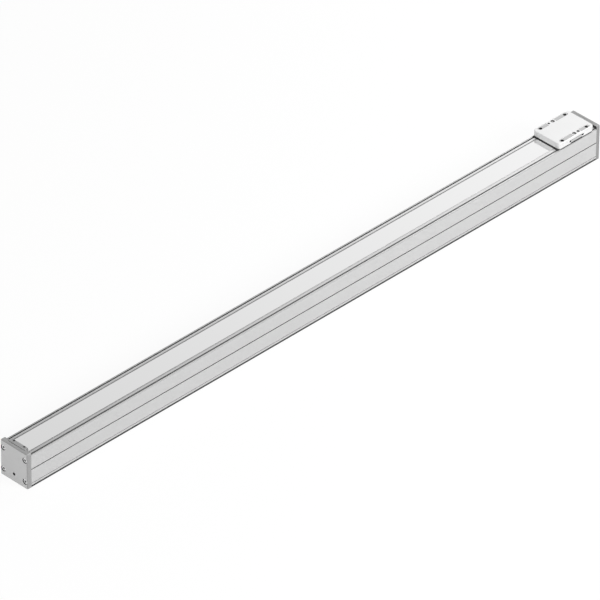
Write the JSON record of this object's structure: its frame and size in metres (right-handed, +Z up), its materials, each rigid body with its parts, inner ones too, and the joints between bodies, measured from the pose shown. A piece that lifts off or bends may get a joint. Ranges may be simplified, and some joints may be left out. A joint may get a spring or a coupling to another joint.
{
  "type": "passive linear guide axis",
  "caption": "Undriven linear guide axis: closed aluminium profile with end plates, cover strip and a slide that runs on a ball guide inside.",
  "frame": {"origin": "centre of the axis' length and width, on the mounting face", "axes": "+X along the travel towards the end where the slide is parked, +Y across, +Z up from the mounting face"},
  "size_m": [1.275, 0.06, 0.0722],
  "materials": {
    "profile_aluminium": "clear anodised, satin",
    "carrier_aluminium": "clear anodised, satin",
    "strip_steel": "rolled stainless strip",
    "slide_aluminium": "clear anodised, satin",
    "plate_aluminium": "grey anodised, satin",
    "guide_steel": "ground",
    "ball_steel": "polished",
    "bracket_steel": "zinc plated",
    "yoke_aluminium": "milled",
    "zinc_screws": "zinc plated",
    "black_screws": "black oxide",
    "cap_plastic": "moulded",
    "seal_rubber": "matt"
  },
  "bodies": {
    "axis_body": {"profile": "profile_aluminium", "cover_carrier": "carrier_aluminium", "cover_strip": "strip_steel", "end_plate_near": "plate_aluminium", "end_plate_far": "plate_aluminium", "strip_clamp_near": "plate_aluminium", "strip_clamp_far": "plate_aluminium", "guide_rail": "guide_steel", "end_screws_near": "zinc_screws", "end_screws_far": "zinc_screws", "rail_screws": "zinc_screws", "clamp_screws_near": "black_screws", "clamp_screws_far": "black_screws", "end_gasket_near": "seal_rubber", "end_gasket_far": "seal_rubber", "stop_buffers_near": "seal_rubber", "stop_buffers_far": "seal_rubber"},
    "slide_body": {"slide_plate": "slide_aluminium", "arm_bracket_left": "bracket_steel", "arm_bracket_right": "bracket_steel", "arm_screws": "black_screws", "yoke": "yoke_aluminium", "runner_screws": "zinc_screws", "runner_block": "guide_steel", "bearing_balls": "ball_steel", "runner_end_cap_near": "cap_plastic", "runner_end_cap_far": "cap_plastic", "runner_seal_near": "seal_rubber", "runner_seal_far": "seal_rubber", "slide_wiper_near": "seal_rubber", "slide_wiper_far": "seal_rubber", "side_seal_left": "seal_rubber", "side_seal_right": "seal_rubber"}
  },
  "joints": [
    {"name": "carriage_travel", "type": "slide", "parent": "axis_body", "child": "slide_body", "axis": [1, 0, 0], "range_m": [-1.1653, 0.0003]}
  ]
}
